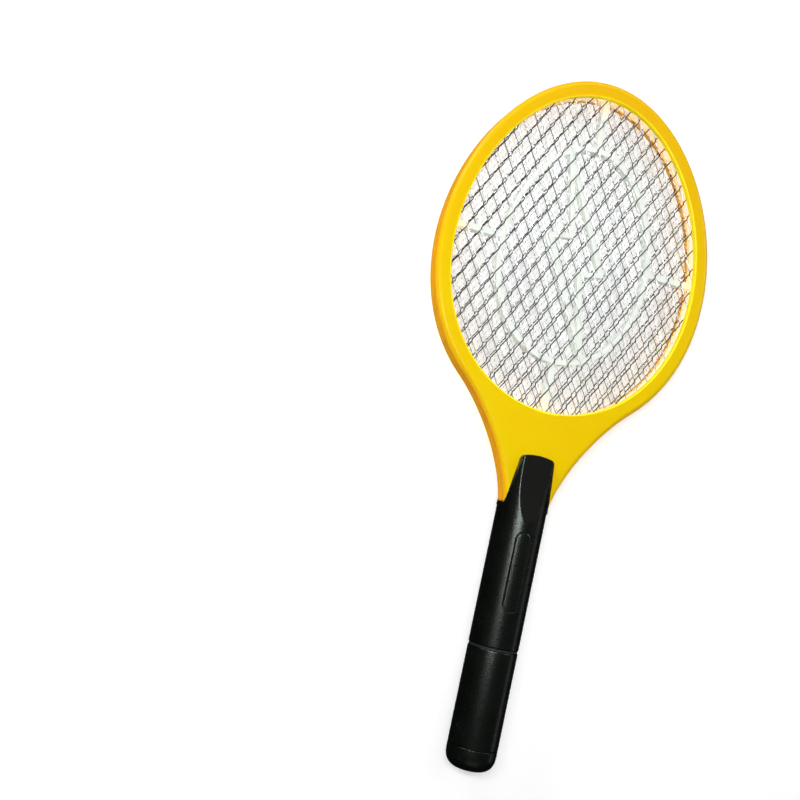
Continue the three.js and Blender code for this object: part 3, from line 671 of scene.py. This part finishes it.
# ---- grids --------------------------------------------------------------------------------
def expanded_sheet(pitch_x, pitch_y, bond, width, rise, reach):
    """Slit and stretched metal: strands that lean, joined by short bonds along the racket.
    It is cut to an oval that reaches past the opening by reach."""
    half_a, half_b = OPENING_A + reach, OPENING_B + reach
    tip = width * pitch_y / pitch_x
    corners = [(0, -bond / 2 - tip, rise), (width, -bond / 2, -rise), (width, bond / 2, rise),
               (0, bond / 2 + tip, -rise), (-width, bond / 2, rise), (-width, -bond / 2, -rise)]
    bottom, right_low, right_high, top, left_high, left_low = range(6)
    points, faces, first = [], [], {}
    columns, rows = int(2 * half_a / pitch_x) + 1, int(2 * half_b / pitch_y) + 1

    def middle(i, j):
        return np.array([i * pitch_x / 2, j * pitch_y / 2, 0])

    def inside(point):
        return oval_share(point[0], point[1], half_a, half_b) < 1

    for i in range(-columns, columns + 1):
        for j in range(-rows, rows + 1):
            if (i + j) % 2 == 0 and inside(middle(i, j)):
                first[i, j] = len(points)
                points += [middle(i, j) + corner for corner in corners]
                faces.append(tuple(first[i, j] + k for k in range(6)))

    def strand(i, j, side):
        """The strand from one bond up to the next, to the right (1) or to the left (-1)."""
        near, far = (i, j), (i + side, j + 1)
        near_ends = (right_high, top) if side > 0 else (top, left_high)
        far_ends = (bottom, left_low) if side > 0 else (right_low, bottom)
        if near in first and far in first:
            faces.append((first[near] + near_ends[0], first[far] + far_ends[0],
                          first[far] + far_ends[1], first[near] + near_ends[1]))
            return
        if near not in first and far not in first:
            return
        a = [middle(*near) + corners[k] for k in near_ends]
        b = [middle(*far) + corners[k] for k in far_ends]
        low, high = 0.0, 1.0
        for _ in range(20):      # halves its way to where the strand crosses the oval
            t = (low + high) / 2
            on = inside((1 - t) * (a[0] + a[1]) / 2 + t * (b[0] + b[1]) / 2)
            if on == (near in first):
                low = t
            else:
                high = t
        cut = [(1 - low) * a[k] + low * b[k] for k in (0, 1)]
        start = len(points)
        points.extend(cut)
        if near in first:
            faces.append((first[near] + near_ends[0], start, start + 1,
                          first[near] + near_ends[1]))
        else:
            faces.append((start, first[far] + far_ends[0], first[far] + far_ends[1], start + 1))

    for i in range(-columns - 1, columns + 2):
        for j in range(-rows - 1, rows + 2):
            if (i + j) % 2 == 0:
                strand(i, j, 1)
                strand(i, j, -1)
    return np.array(points) + (0, HEAD_Y, 0), faces


def grid(name, height, turned_over, thickness, sizes):
    """A grid whose strands that run one of the two ways have the second material."""
    points, faces = expanded_sheet(**sizes)
    points[:, 2] += height
    obj = make(name, points, faces, turned_over, sharp=180)
    for polygon in obj.data.polygons:
        if len(polygon.vertices) == 4:
            ends = [obj.data.vertices[k].co for k in polygon.vertices[:2]]
            along = ends[1] - ends[0]
            polygon.material_index = 0 if along.x * along.y > 0 else 1
    modify(obj, "SOLIDIFY", thickness=thickness * MM, offset=0)
    apply_modifiers(obj)
    return shade(obj, 10)


def paint_bond_shade(obj):
    """Gives the second material, the bonds' painted shade, to the bonds and to nothing else."""
    for polygon in obj.data.polygons:
        polygon.material_index = 1 if len(polygon.vertices) == 6 else 0


COARSE = dict(pitch_x=9.6, pitch_y=18.0, bond=1.5, width=0.38, rise=-0.15, reach=2.2)
FINE = dict(pitch_x=3.9, pitch_y=6.2, bond=0.9, width=0.16, rise=-0.06, reach=2.2)
COARSE_THICK, FINE_THICK = 0.26, 0.2
for side, over in (("front", False), ("back", True)):
    coarse = grid(f"{side}_grid_metal", GRID_Z, over, COARSE_THICK, COARSE)
    settle(coarse, "racket", "grid_dark", f"{side}_grid", DARK_METAL, PALE_METAL)
fine = grid("centre_grid_metal", 0, False, FINE_THICK, FINE)
settle(fine, "racket", "grid_bright", "centre_grid", BRIGHT_METAL, SHADED_BOND_METAL)
paint_bond_shade(fine)


# ---- handle shells ------------------------------------------------------------------------
LABEL_LOW, LABEL_HIGH, LABEL_HALF = 102.8, 153.8, 5.2
GROOVE_DEPTH, GROOVE_WIDTH = 0.3, 0.38
PANEL_DEPTH, PANEL_EDGE = 0.12, 0.15
RECESS_Y, RECESS_HALF_Y, RECESS_HALF_Z = 101.3, 8.6, 7.4
RECESS_TOP, RECESS_DEPTH = 17.3, 3.7     # x of the recess's rim, and its depth below that
RECESS_ROWS = (92, 111)      # the rows are close together between these heights
TONGUE_EDGE = 0.7
TONGUE_CROWN = 1.6           # how far the tongue's end bows upwards
TONGUE_SINK = 0.3            # how far the tongue reaches below the frame's face
SHOULDER_DIP = 1.8           # how far the flanks of the shoulder dip below its middle
FLANK_X, FLANK_EASE = 12, 3  # where the flanks begin, and how wide their beginning is

# Every row has a run of points over the top, then over the edge and down the side. The label
# lies in the middle share of the top, where the points are closest.
EDGE_STEPS, SIDE_STEPS = 5, 14
LABEL_SHARE = 0.36
TOP_SHARES = np.concatenate([
    np.linspace(-1, -LABEL_SHARE, 26)[:-1], np.linspace(-LABEL_SHARE, LABEL_SHARE, 45),
    np.linspace(LABEL_SHARE, 1, 26)[1:]])


def tongue_half(y):
    """Half the tongue's width at a height, with its upper corners rounded."""
    corner = 2.4
    share = np.clip((y - SHOULDER_Y) / (TONGUE_TOP - SHOULDER_Y), 0, 1)
    straight = NECK_HALF + (TONGUE_HALF - NECK_HALF) * share
    over = np.clip(y - (TONGUE_TOP - corner), 0, corner)
    return straight - (corner - np.sqrt(corner ** 2 - over ** 2)) * 0.9


def facet_height(y):
    """The facet is a shallow scoop, steepest at its lower end. Below that it rises clear of the
    grip, so that it cuts nothing there."""
    share = (np.asarray(y, float) - FACET_LOW) / (TONGUE_TOP - FACET_LOW)
    scoop = FACET_DROP * (1 - np.clip(1 - share, 0, 1) ** 2.5)
    return HANDLE_R - np.where(share > 0, scoop, 2.5 * FACET_DROP * share)


def handle_top(x, y):
    """Height of the handle's upper surface: the round grip, cut by the facet."""
    grip = np.sqrt(np.maximum(HANDLE_R ** 2 - x ** 2, 0))
    facet = facet_height(y)
    ease = 0.1
    lower = np.minimum(grip, facet)
    return lower - ease * np.log1p(np.exp(-np.abs(grip - facet) / ease))


def label_depth(across, y):
    """Depth of the label panel's outline groove and of the panel inside it. across is measured
    round the grip from its middle."""
    middle, half = (LABEL_LOW + LABEL_HIGH) / 2, (LABEL_HIGH - LABEL_LOW) / 2
    past = np.maximum(np.abs(y - middle) - (half - LABEL_HALF), 0)
    distance = np.hypot(across, past) - LABEL_HALF
    groove = GROOVE_DEPTH * np.exp(-(distance / GROOVE_WIDTH) ** 2)
    panel = PANEL_DEPTH / (1 + np.exp(distance / PANEL_EDGE))
    return groove + panel


def recess_side(y, z):
    """The thumb recess, as the furthest x that the right side may reach."""
    inside = 1 - ((y - RECESS_Y) / RECESS_HALF_Y) ** 2 - (z / RECESS_HALF_Z) ** 2
    scooped = RECESS_TOP - RECESS_DEPTH * np.sqrt(np.maximum(inside, 0))
    return np.where(inside > 0, scooped, HANDLE_R)


def section(y, tongue, label):
    """One row of the shell, from the parting plane on the left to that on the right."""
    edge = TONGUE_EDGE
    half = float(tongue_half(y)) if tongue else NECK_HALF
    widest = math.asin((NECK_HALF - edge) / HANDLE_R)
    x = np.sin(TOP_SHARES * widest) / math.sin(widest) * (half - edge)
    z = handle_top(x, np.full_like(x, y))
    if label:
        depth = label_depth(HANDLE_R * np.arcsin(x / HANDLE_R), y)
        x = x - depth * x / HANDLE_R
        z = z - depth * z / HANDLE_R
    if tongue:
        corner_z = float(handle_top(np.array([half - edge]), np.array([y]))[0])
        turns = np.linspace(0, math.pi / 2, EDGE_STEPS + 1)[1:]
        edge_x = half - edge + edge * np.sin(turns)
        edge_z = corner_z - edge + edge * np.cos(turns)
        foot = min(HEAD_HALF - TONGUE_SINK, edge_z[-1] - 0.5)
        side_x = np.full(SIDE_STEPS, half)
        side_z = np.linspace(edge_z[-1], foot, SIDE_STEPS + 1)[1:]
    else:
        turns = np.linspace(widest, math.asin(NECK_HALF / HANDLE_R), EDGE_STEPS + 1)[1:]
        edge_x, edge_z = HANDLE_R * np.sin(turns), HANDLE_R * np.cos(turns)
        side_turns = np.linspace(turns[-1], math.acos(SEAM / HANDLE_R), SIDE_STEPS + 1)[1:]
        side_x, side_z = HANDLE_R * np.sin(side_turns), HANDLE_R * np.cos(side_turns)
    right_x = np.concatenate([x, edge_x, side_x])
    right_z = np.concatenate([z, edge_z, side_z])
    left_x = -np.concatenate([edge_x, side_x])[::-1]
    left_z = np.concatenate([edge_z, side_z])[::-1]
    if not tongue:
        right_x = np.minimum(right_x, recess_side(y, right_z))
    row_x, row_z = np.concatenate([left_x, right_x]), np.concatenate([left_z, right_z])
    return np.column_stack([row_x, np.full(len(row_x), y), row_z])


def shell_rows(label):
    """The rows of a handle shell from its rounded lower edge to the tongue's end."""
    rows = []
    ease = 0.6
    for turn in np.linspace(0, math.pi / 2, 5):
        row = section(SHELL_LOW + ease * (1 - math.cos(turn)), False, label)
        inset = 1 - ease * (1 - math.sin(turn)) / HANDLE_R
        row[:, 0] *= inset
        row[:, 2] *= inset
        rows.append(row)
    recess_low, recess_high = RECESS_ROWS
    before_facet = FACET_LOW - 4
    heights = np.concatenate([
        np.arange(SHELL_LOW + 2 * ease, recess_low, 1.0),
        np.arange(recess_low, recess_high, 0.4),
        np.arange(recess_high, before_facet, 0.34 if label else 0.8),
        np.arange(before_facet, SHOULDER_Y - 0.5, 0.4)])
    last = SHOULDER_Y - 0.3
    rows += [section(y, False, label) for y in heights]
    rows.append(section(last, False, label))
    rows.append(section(last, True, False))
    tongue_heights = np.arange(SHOULDER_Y, TONGUE_TOP - TONGUE_EDGE, 0.4)
    rows += [section(y, True, False) for y in tongue_heights]
    for turn in np.linspace(0, math.pi / 2, 6):
        y = TONGUE_TOP - TONGUE_EDGE + TONGUE_EDGE * math.sin(turn)
        row = section(y, True, False)
        row[:, 2] -= TONGUE_EDGE * (1 - math.cos(turn))
        rows.append(row)
    end = rows[-1].copy()
    end[:, 2] = HEAD_HALF - TONGUE_SINK
    rows.append(end)
    for row in rows:
        lift = np.clip((row[:, 1] - SHOULDER_Y) / (TONGUE_TOP - SHOULDER_Y), 0, 1)
        crown = TONGUE_CROWN * (0.5 - (row[:, 0] / TONGUE_HALF) ** 2)
        outer = np.clip((np.abs(row[:, 0]) - FLANK_X) / FLANK_EASE, 0, 1)
        near_shoulder = outer * np.exp(-((row[:, 1] - SHOULDER_Y) / 5) ** 2)
        dip = SHOULDER_DIP * np.clip((row[:, 2] - 2) / 6, 0, 1) ** 1.5
        row[:, 1] += lift ** 2 * crown - near_shoulder * dip
    return np.array(rows)


def place_tool(name, mesh, centre, shape):
    """An object from a bmesh that is shaped by a matrix and put at a bench point."""
    place = Matrix.Translation(Vector(to_row(centre))) @ shape
    bmesh.ops.transform(mesh, matrix=place, verts=mesh.verts)
    data = bpy.data.meshes.new(name)
    mesh.to_mesh(data)
    mesh.free()
    return link(name, data)


def cylinder_tool(name, centre, axis, radius, length, sides=40):
    """A closed cylinder for cutting or joining, along x or z."""
    mesh = bmesh.new()
    bmesh.ops.create_cone(mesh, cap_ends=True, segments=sides, radius1=radius * MM,
                          radius2=radius * MM, depth=length * MM)
    turn = Matrix.Rotation(math.pi / 2, 4, "Y") if axis == "x" else Matrix.Identity(4)
    return place_tool(name, mesh, centre, turn)


def block_tool(name, low, high):
    """A block for cutting, from its lowest to its highest corner."""
    mesh = bmesh.new()
    bmesh.ops.create_cube(mesh, size=1)
    low, high = np.array(low, float), np.array(high, float)
    return place_tool(name, mesh, (low + high) / 2, Matrix.Diagonal((*((high - low) * MM), 1)))


def middle_y(node):
    low, high = span(node)
    return (low.y + high.y) / 2


BUTTON_Y, LED_Y = middle_y("push_button"), middle_y("led_lens")
SCREW_NODES = ("handle_screw_lower", "handle_screw_upper", "neck_screw")
SLOT_HALF_Y, SLOT_HALF_Z = 3.85, 3.05    # hole for the push button
LED_HOLE_R = 1.75
POST_R, POST_Z, POST_LENGTH = 4, -7.5, 14.6      # screw posts inside the back shell
SINK_R, SHANK_HOLE_R = 2.75, 1.5         # holes for a screw's head and its shank
SINK_PAST = 0.5              # how far in a head's hole reaches past the head's outer face


def handle_shell(name, turned_over):
    """Half of the handle. The front one has the label panel, the back one the screw holes."""
    label = not turned_over
    rows = shell_rows(label)
    count, size = rows.shape[:2]
    faces = []
    for k in range(count - 1):
        for i in range(size - 1):
            a = k * size + i
            faces.append((a, a + 1, a + size + 1, a + size))
    obj = make(name, rows.reshape(-1, 3), faces, turned_over, sharp=180)
    modify(obj, "SOLIDIFY", thickness=SHELL_WALL * MM, offset=-1)
    apply_modifiers(obj)
    # The tools that cut holes are long enough to pass right through the wall.
    tools = [block_tool("button_slot", (10, BUTTON_Y - SLOT_HALF_Y, -SLOT_HALF_Z),
                        (20, BUTTON_Y + SLOT_HALF_Y, SLOT_HALF_Z)),
             cylinder_tool("led_hole", (15, LED_Y, 0), "x", LED_HOLE_R, 12)]
    if turned_over:
        posts = []
        for index, node in enumerate(SCREW_NODES):
            y = middle_y(node)
            if node != "neck_screw":
                posts.append(cylinder_tool(f"post_{index}", (0, y, POST_Z), "z", POST_R,
                                           POST_LENGTH))
            sink_z = span(node)[0].z + SINK_PAST
            tools.append(cylinder_tool(f"sink_{index}", (0, y, sink_z - 10), "z", SINK_R, 20))
            tools.append(cylinder_tool(f"bore_{index}", (0, y, -8), "z", SHANK_HOLE_R, 30))
        combine(obj, "UNION", posts)
    combine(obj, "DIFFERENCE", tools)
    return shade(obj, 35)


def paint_facet(obj):
    """Gives the second material to the faces that lie on the facet."""
    obj.data.materials.append(GRAIN)
    near = 0.2
    for polygon in obj.data.polygons:
        x, y, z = (polygon.center - ZERO) / MM
        flat = abs(polygon.normal.z) > 0.95 and abs(polygon.normal.x) < 0.03
        outside = abs(z) > HEAD_HALF and y > FACET_LOW - 0.5 and abs(x) < TONGUE_HALF + 2
        if flat and outside and abs(abs(z) - float(facet_height(y))) < near:
            polygon.material_index = 1


for side, over in (("front", False), ("back", True)):
    shell = handle_shell(f"{side}_handle_cover", over)
    settle(shell, "racket", "handle_black", f"{side}_handle_shell", BLACK)
    paint_facet(shell)


# ---- battery sleeve and end cap -----------------------------------------------------------
SLEEVE_LOW, SLEEVE_HIGH = (corner.y for corner in span("battery_sleeve"))
CAP_LOW = span("end_cap")[0].y
BORE = 14.8                  # inner radius of both
CAP_TOP = SLEEVE_LOW - 0.3
SPIGOT_R, SPIGOT_TOP = 15.3, 19.4        # the cap's upper end, which fits into the sleeve
SOCKET_R, SOCKET_TOP = 15.6, 19.7        # the widened mouth that takes it
CAP_FLOOR, CAP_FLOOR_R, CAP_SLOPE_TOP = 3, 10.5, 7.6
GROOVE_ROUND, CAP_ROUND = 0.6, 11.5


def lathe(name, profile, radii, steps=4, sides=160):
    """A closed profile of (radius, y) turned about the handle's axis."""
    points = rounded(profile, radii, steps)
    rings = [[(r * math.cos(a), y, r * math.sin(a)) for a in around(sides)] for r, y in points]
    points, faces = loft(rings, close_ends=True)
    return make(name, points, [face[::-1] for face in faces], sharp=35)


sleeve_profile = [
    (SOCKET_R, SLEEVE_LOW), (HANDLE_R - 0.1, SLEEVE_LOW), (HANDLE_R, SLEEVE_LOW + 1.0),
    (HANDLE_R, SLEEVE_HIGH - 1.0), (HANDLE_R - 0.1, SLEEVE_HIGH), (BORE, SLEEVE_HIGH),
    (BORE, SOCKET_TOP), (SOCKET_R, SOCKET_TOP)]
sleeve = lathe("battery_sleeve_tube", sleeve_profile, {1: GROOVE_ROUND, 4: GROOVE_ROUND})
settle(sleeve, "sleeve", "handle_black", "battery_sleeve", BLACK)

cap_profile = [
    (AXIS, CAP_LOW), (HANDLE_R, CAP_LOW), (HANDLE_R, CAP_TOP), (SPIGOT_R, CAP_TOP),
    (SPIGOT_R, SPIGOT_TOP), (BORE, SPIGOT_TOP), (BORE, CAP_SLOPE_TOP), (CAP_FLOOR_R, CAP_FLOOR),
    (AXIS, CAP_FLOOR)]
cap = lathe("end_cap_cup", cap_profile, {1: CAP_ROUND, 2: GROOVE_ROUND}, steps=12)
settle(cap, "sleeve", "handle_black", "end_cap", BLACK)


# ---- push button, screws ------------------------------------------------------------------
BUTTON_HALF_Y, BUTTON_HALF_Z = 3.55, 2.75
BUTTON_SQUARENESS = 0.55     # power on sine and cosine: 1 gives an oval, 0 a rectangle
FLANGE, FLANGE_THICK = 1.24, 1.2         # the flange's width as a share of the cap's
CAP_EDGE_LOW, CAP_EDGE_RISE, CAP_EDGE_INSET = 1.1, 0.75, 0.22
CROWN_RISE, CROWN_SHARE = 0.35, 0.6


def push_button():
    """A rounded oblong cap with a crowned top, on the flange that holds it in."""
    low, high = span("push_button")
    bottom, top = low.x, high.x
    sides = 64
    plan = []
    for half, wave in ((BUTTON_HALF_Y, np.cos(around(sides))),
                       (BUTTON_HALF_Z, np.sin(around(sides)))):
        plan.append(half * np.sign(wave) * np.abs(wave) ** BUTTON_SQUARENESS)
    rings = []

    def ring(x, scale):
        rings.append(np.column_stack([np.full(sides, x), BUTTON_Y + plan[0] * scale,
                                      plan[1] * scale]))

    ring(bottom, AXIS)
    ring(bottom, FLANGE)
    ring(bottom + FLANGE_THICK, FLANGE)
    ring(bottom + FLANGE_THICK, 1)
    ring(top - 1.6, 1)
    for turn in np.linspace(0, math.pi / 2, 9)[1:]:
        ring(top - CAP_EDGE_LOW + CAP_EDGE_RISE * math.sin(turn),
             1 - CAP_EDGE_INSET * (1 - math.cos(turn)))
    for share in np.linspace(0.72, AXIS, 8):
        ring(top - CROWN_RISE * share ** 2 / CROWN_SHARE, share)
    points, faces = loft(rings)
    return make("push_button_cap", points, faces, sharp=50)


settle(push_button(), "button", "button_red", "push_button", RED)


SCREW_HEAD_R, SCREW_HEAD_THICK, SHANK_R = 2.4, 1.6, 1.2
CROSS_REACH, CROSS_HALF, CROSS_DEPTH = 1.45, 0.27, 0.9


def screw(node):
    """A pan-head screw with a cross recess, its head at the back."""
    low, high = span(node)
    y = middle_y(node)
    under = low.z + SCREW_HEAD_THICK
    profile = rounded([(AXIS, low.z), (SCREW_HEAD_R, low.z), (SCREW_HEAD_R, under),
                       (SHANK_R, under), (SHANK_R, high.z - 1), (AXIS, high.z)], {1: 0.7})
    rings = [[(r * math.cos(a), y + r * math.sin(a), z) for a in around(48)] for r, z in profile]
    points, faces = loft(rings)
    obj = make(f"{node}_body", points, faces, sharp=35)
    floor_z = low.z + CROSS_DEPTH
    arms = [block_tool("arm", (-half_x, y - half_y, low.z - 1), (half_x, y + half_y, floor_z))
            for half_x, half_y in ((CROSS_REACH, CROSS_HALF), (CROSS_HALF, CROSS_REACH))]
    combine(obj, "DIFFERENCE", arms)
    return shade(obj, 35)


for node in SCREW_NODES:
    settle(screw(node), "racket", "screw_steel", node, STEEL)


# ---- CAD nodes that keep their shape ------------------------------------------------------
FINISHES = {
    CARRIER: ["battery_carrier"],
    JACKET: ["aa_cell_left", "aa_cell_right"],
    NICKEL: ["contact_bridge", "contact_spring_left", "contact_spring_right", "positive_contact",
             "negative_contact", "centre_grid_tab", "front_grid_tab", "back_grid_tab"],
    CHIP: ["switch_plunger", "tact_switch", "transistor", "diode_1", "diode_2", "diode_3"],
    LENS: ["led_lens"],
    BOARD: ["circuit_board"],
    FERRITE: ["transformer_core"],
    WINDING: ["transformer_winding"],
    CAPACITOR: ["film_capacitor_large", "film_capacitor_small"],
    RESISTOR: ["resistor_1", "resistor_2"],
    LEAD_RED: ["battery_lead_positive", "centre_grid_lead"],
    LEAD_BLACK: ["battery_lead_negative", "front_grid_lead", "grid_bridge_lead"],
}
for look, names in FINISHES.items():
    for name in names:
        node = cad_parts[name]
        node.data.materials.clear()
        node.data.materials.append(look)
        bevel(node, 0.15, 35)


# ---- floor, light and camera --------------------------------------------------------------
TABLE_HALF = 6000
TABLE_GAP = 0.05             # clears the racket, so that no faces coincide
BOWL_START, BOWL_REACH, BOWL_RISE = 620, 5600, 4500
BOWL_SIDES, BOWL_RINGS = 96, 24


def table_height(y):
    """Height of the sloping table, which touches the handle's shoulder and the head's tip."""
    touch_y, touch_z = SHOULDER_Y - 9, -HANDLE_R
    tip_y, tip_z = HEAD_Y + HEAD_B - 8, -HEAD_HALF
    return touch_z + (y - touch_y) * (tip_z - touch_z) / (tip_y - touch_y)


def studio_white(name, tone, glow):
    """A dull white that gives off some light of its own, as a share of full white."""
    look = Look(name, (tone, tone, tone), 0.9)
    look.set("Emission Color", (1, 1, 1, 1))
    look.set("Emission Strength", glow)
    look.vary_roughness(40, 0.85, 0.95)
    return look


def floor():
    """A pale table under the racket."""
    size = TABLE_HALF
    points = [(x, y, table_height(y) - TABLE_GAP)
              for x, y in ((-size, -size), (size, -size), (size, size), (-size, size))]
    obj = make("floor", points, [(0, 1, 2, 3)])
    look = studio_white("floor_white", 0.76, 0.48)
    look.set("Specular IOR Level", 0.1)
    obj.data.materials.append(look.material)
    obj.visible_glossy = False


def backdrop():
    """A white bowl that carries the floor on upwards. Only the camera sees it, so it lights
    nothing."""
    rings = []
    for share in np.linspace(0, 1, BOWL_RINGS):
        radius = BOWL_START + share * BOWL_REACH
        x = radius * np.cos(around(BOWL_SIDES))
        y = HEAD_Y + radius * np.sin(around(BOWL_SIDES))
        rings.append(np.column_stack([x, y, table_height(y) + BOWL_RISE * share ** 3]))
    points, faces = loft(rings)
    obj = make("backdrop", points, [face[::-1] for face in faces])
    obj.data.materials.append(studio_white("backdrop_white", 0.8, 1.0).material)
    for kind in ("diffuse", "glossy", "transmission", "shadow"):
        setattr(obj, f"visible_{kind}", False)


def area_light(name, place, target, size, power):
    """A soft box, in metres and watts, that faces its target."""
    light = bpy.data.lights.new(name, "AREA")
    light.shape = "RECTANGLE"
    light.size, light.size_y = size
    light.energy = power
    obj = link(name, light)
    obj.location = place
    obj.rotation_euler = (Vector(target) - Vector(place)).to_track_quat("-Z", "Y").to_euler()


def studio_world():
    """A dim white sky that brightens from the horizon upwards."""
    world = bpy.data.worlds.new("studio")
    scene.world = world
    world.use_nodes = True
    tree = world.node_tree
    background = tree.nodes["Background"]
    background.inputs["Color"].default_value = (1, 1, 1, 1)
    direction = tree.nodes.new("ShaderNodeTexCoord")
    parts = tree.nodes.new("ShaderNodeSeparateXYZ")
    tree.links.new(direction.outputs["Generated"], parts.inputs["Vector"])
    rise = tree.nodes.new("ShaderNodeMapRange")
    for socket, number in zip(RANGE_SOCKETS, (0.0, 0.9, 0.01, 0.08)):
        rise.inputs[socket].default_value = number
    tree.links.new(parts.outputs["Z"], rise.inputs["Value"])
    tree.links.new(rise.outputs["Result"], background.inputs["Strength"])


def lights():
    area_light("key", (-0.27, -0.005, 0.72), (0, -0.03, 0), (0.07, 0.34), 3.1)
    area_light("left_fill", (-1.05, 1.0, 0.5), (0, 0.12, 0), (0.5, 0.4), 11)
    area_light("right_fill", (1.1, 0.5, 0.75), (0, 0.12, 0), (0.5, 0.4), 4.0)
    area_light("right_strip", (0.8, -0.05, 0.1), (0, -0.05, 0.02), (0.9, 0.12), 0.3)
    area_light("head_fill", (0.1, 1.1, 0.95), (0, 0.05, 0), (1.2, 0.6), 5.4)
    area_light("tail_fill", (0.0, -1.2, 0.95), (0, -0.05, 0), (1.2, 0.6), 0.8)


def camera():
    """The camera stands over the racket's left side, turned so that the head leans right."""
    data = bpy.data.cameras.new("camera")
    data.sensor_width = 36
    data.lens = 51.75
    obj = link("camera", data)
    right = Vector((0.94777, 0.21321, 0.23723))
    up = Vector((-0.22733, 0.97324, 0.03349))
    back = right.cross(up)
    turn = Matrix((right, up, back)).transposed().to_4x4()
    obj.matrix_world = Matrix.Translation(Vector(to_row((-257.8, 156.5, 707.9)))) @ turn
    scene.camera = obj


floor()
backdrop()
studio_world()
lights()
camera()
scene.view_settings.view_transform = "Standard"
